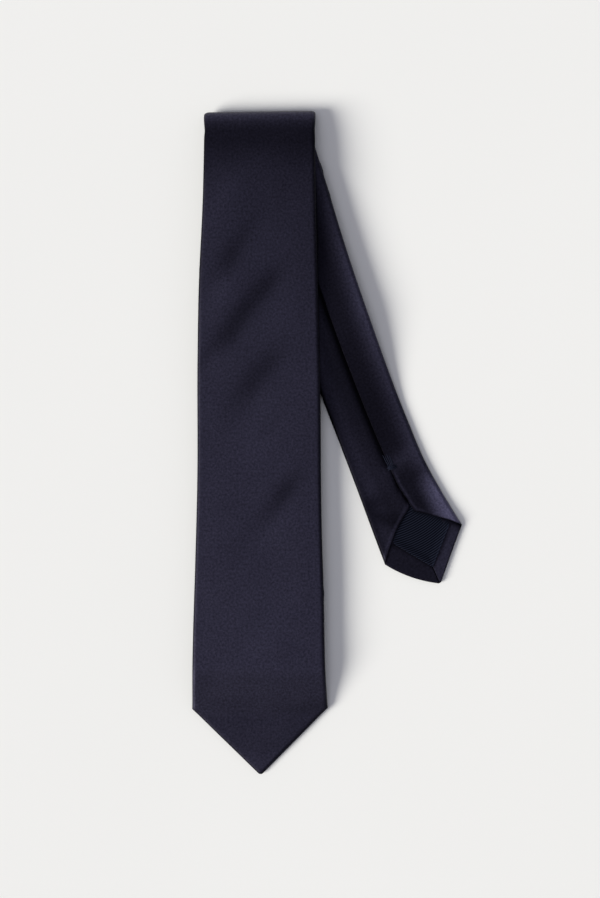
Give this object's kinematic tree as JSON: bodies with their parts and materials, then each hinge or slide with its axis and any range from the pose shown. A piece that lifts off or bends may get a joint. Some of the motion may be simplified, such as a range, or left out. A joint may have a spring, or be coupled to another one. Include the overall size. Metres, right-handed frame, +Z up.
{
  "type": "necktie",
  "caption": "Folded dress necktie, face up: a padded satin blade with a pointed end over a softly rolled neck, its narrow tail fanned out back side up.",
  "frame": {"origin": "on the flat underside of the folded tie, on the front blade's centre line, under the axis of the top roll", "axes": "+X to the right seen from above, +Y along the blade towards the top roll, +Z up from the table"},
  "size_m": [0.1586, 0.389, 0.0152],
  "materials": {
    "shell_cloth": "fine twill satin, dark navy, soft sheen",
    "tipping_cloth": "ribbed twill lining, darker navy",
    "interlining_wool": "brushed wool felt",
    "thread": "twisted sewing thread"
  },
  "bodies": {
    "neck": {"neck_front_shell": "shell_cloth", "neck_gusset_shell": "shell_cloth", "neck_tail_shell": "shell_cloth", "neck_interlining": "interlining_wool", "neck_slip_stitch": "thread", "front_joining_seam": "thread", "tail_joining_seam": "thread"},
    "front_roll": {"front_roll_shell": "shell_cloth", "front_roll_interlining": "interlining_wool"},
    "front_blade": {"front_shell": "shell_cloth", "front_interlining": "interlining_wool", "front_slip_stitch": "thread", "keeper_loop": "shell_cloth", "keeper_loop_tacks": "thread"},
    "front_tip": {"front_tip_shell": "shell_cloth", "front_tip_interlining": "interlining_wool", "front_tipping": "tipping_cloth", "front_tipping_stitches": "thread", "front_bar_tack": "thread"},
    "tail": {"tail_shell": "shell_cloth", "tail_interlining": "interlining_wool", "tail_slip_stitch": "thread"},
    "tail_tip": {"tail_tip_shell": "shell_cloth", "tail_tip_interlining": "interlining_wool", "tail_tipping": "tipping_cloth", "tail_tipping_stitches": "thread", "tail_bar_tack": "thread"}
  },
  "joints": [
    {"name": "front_open", "type": "hinge", "parent": "front_roll", "child": "front_blade", "pos_m": [0, 0.0086, 0.0118], "axis": [-1, 0, 0], "range_deg": [0, 90]},
    {"name": "roll_open", "type": "hinge", "parent": "neck", "child": "front_roll", "pos_m": [0, 0.0086, 0.0034], "axis": [-1, 0, 0], "range_deg": [0, 90]},
    {"name": "front_tip_bend", "type": "hinge", "parent": "front_blade", "child": "front_tip", "pos_m": [0, -0.242, 0.0118], "axis": [1, 0, 0], "range_deg": [-45, 0]},
    {"name": "tail_fan", "type": "hinge", "parent": "neck", "child": "tail", "pos_m": [0.0173, -0.0361, 0.0093], "axis": [0, 0, 1], "range_deg": [0, 30]},
    {"name": "tail_tip_bend", "type": "hinge", "parent": "tail", "child": "tail_tip", "pos_m": [0.0684, -0.17707, 0.0034], "axis": [-0.9228, -0.3852, 0], "range_deg": [0, 50]}
  ],
  "couplings": [
    {"joint": "roll_open", "follows": "front_open", "ratio": 1}
  ]
}
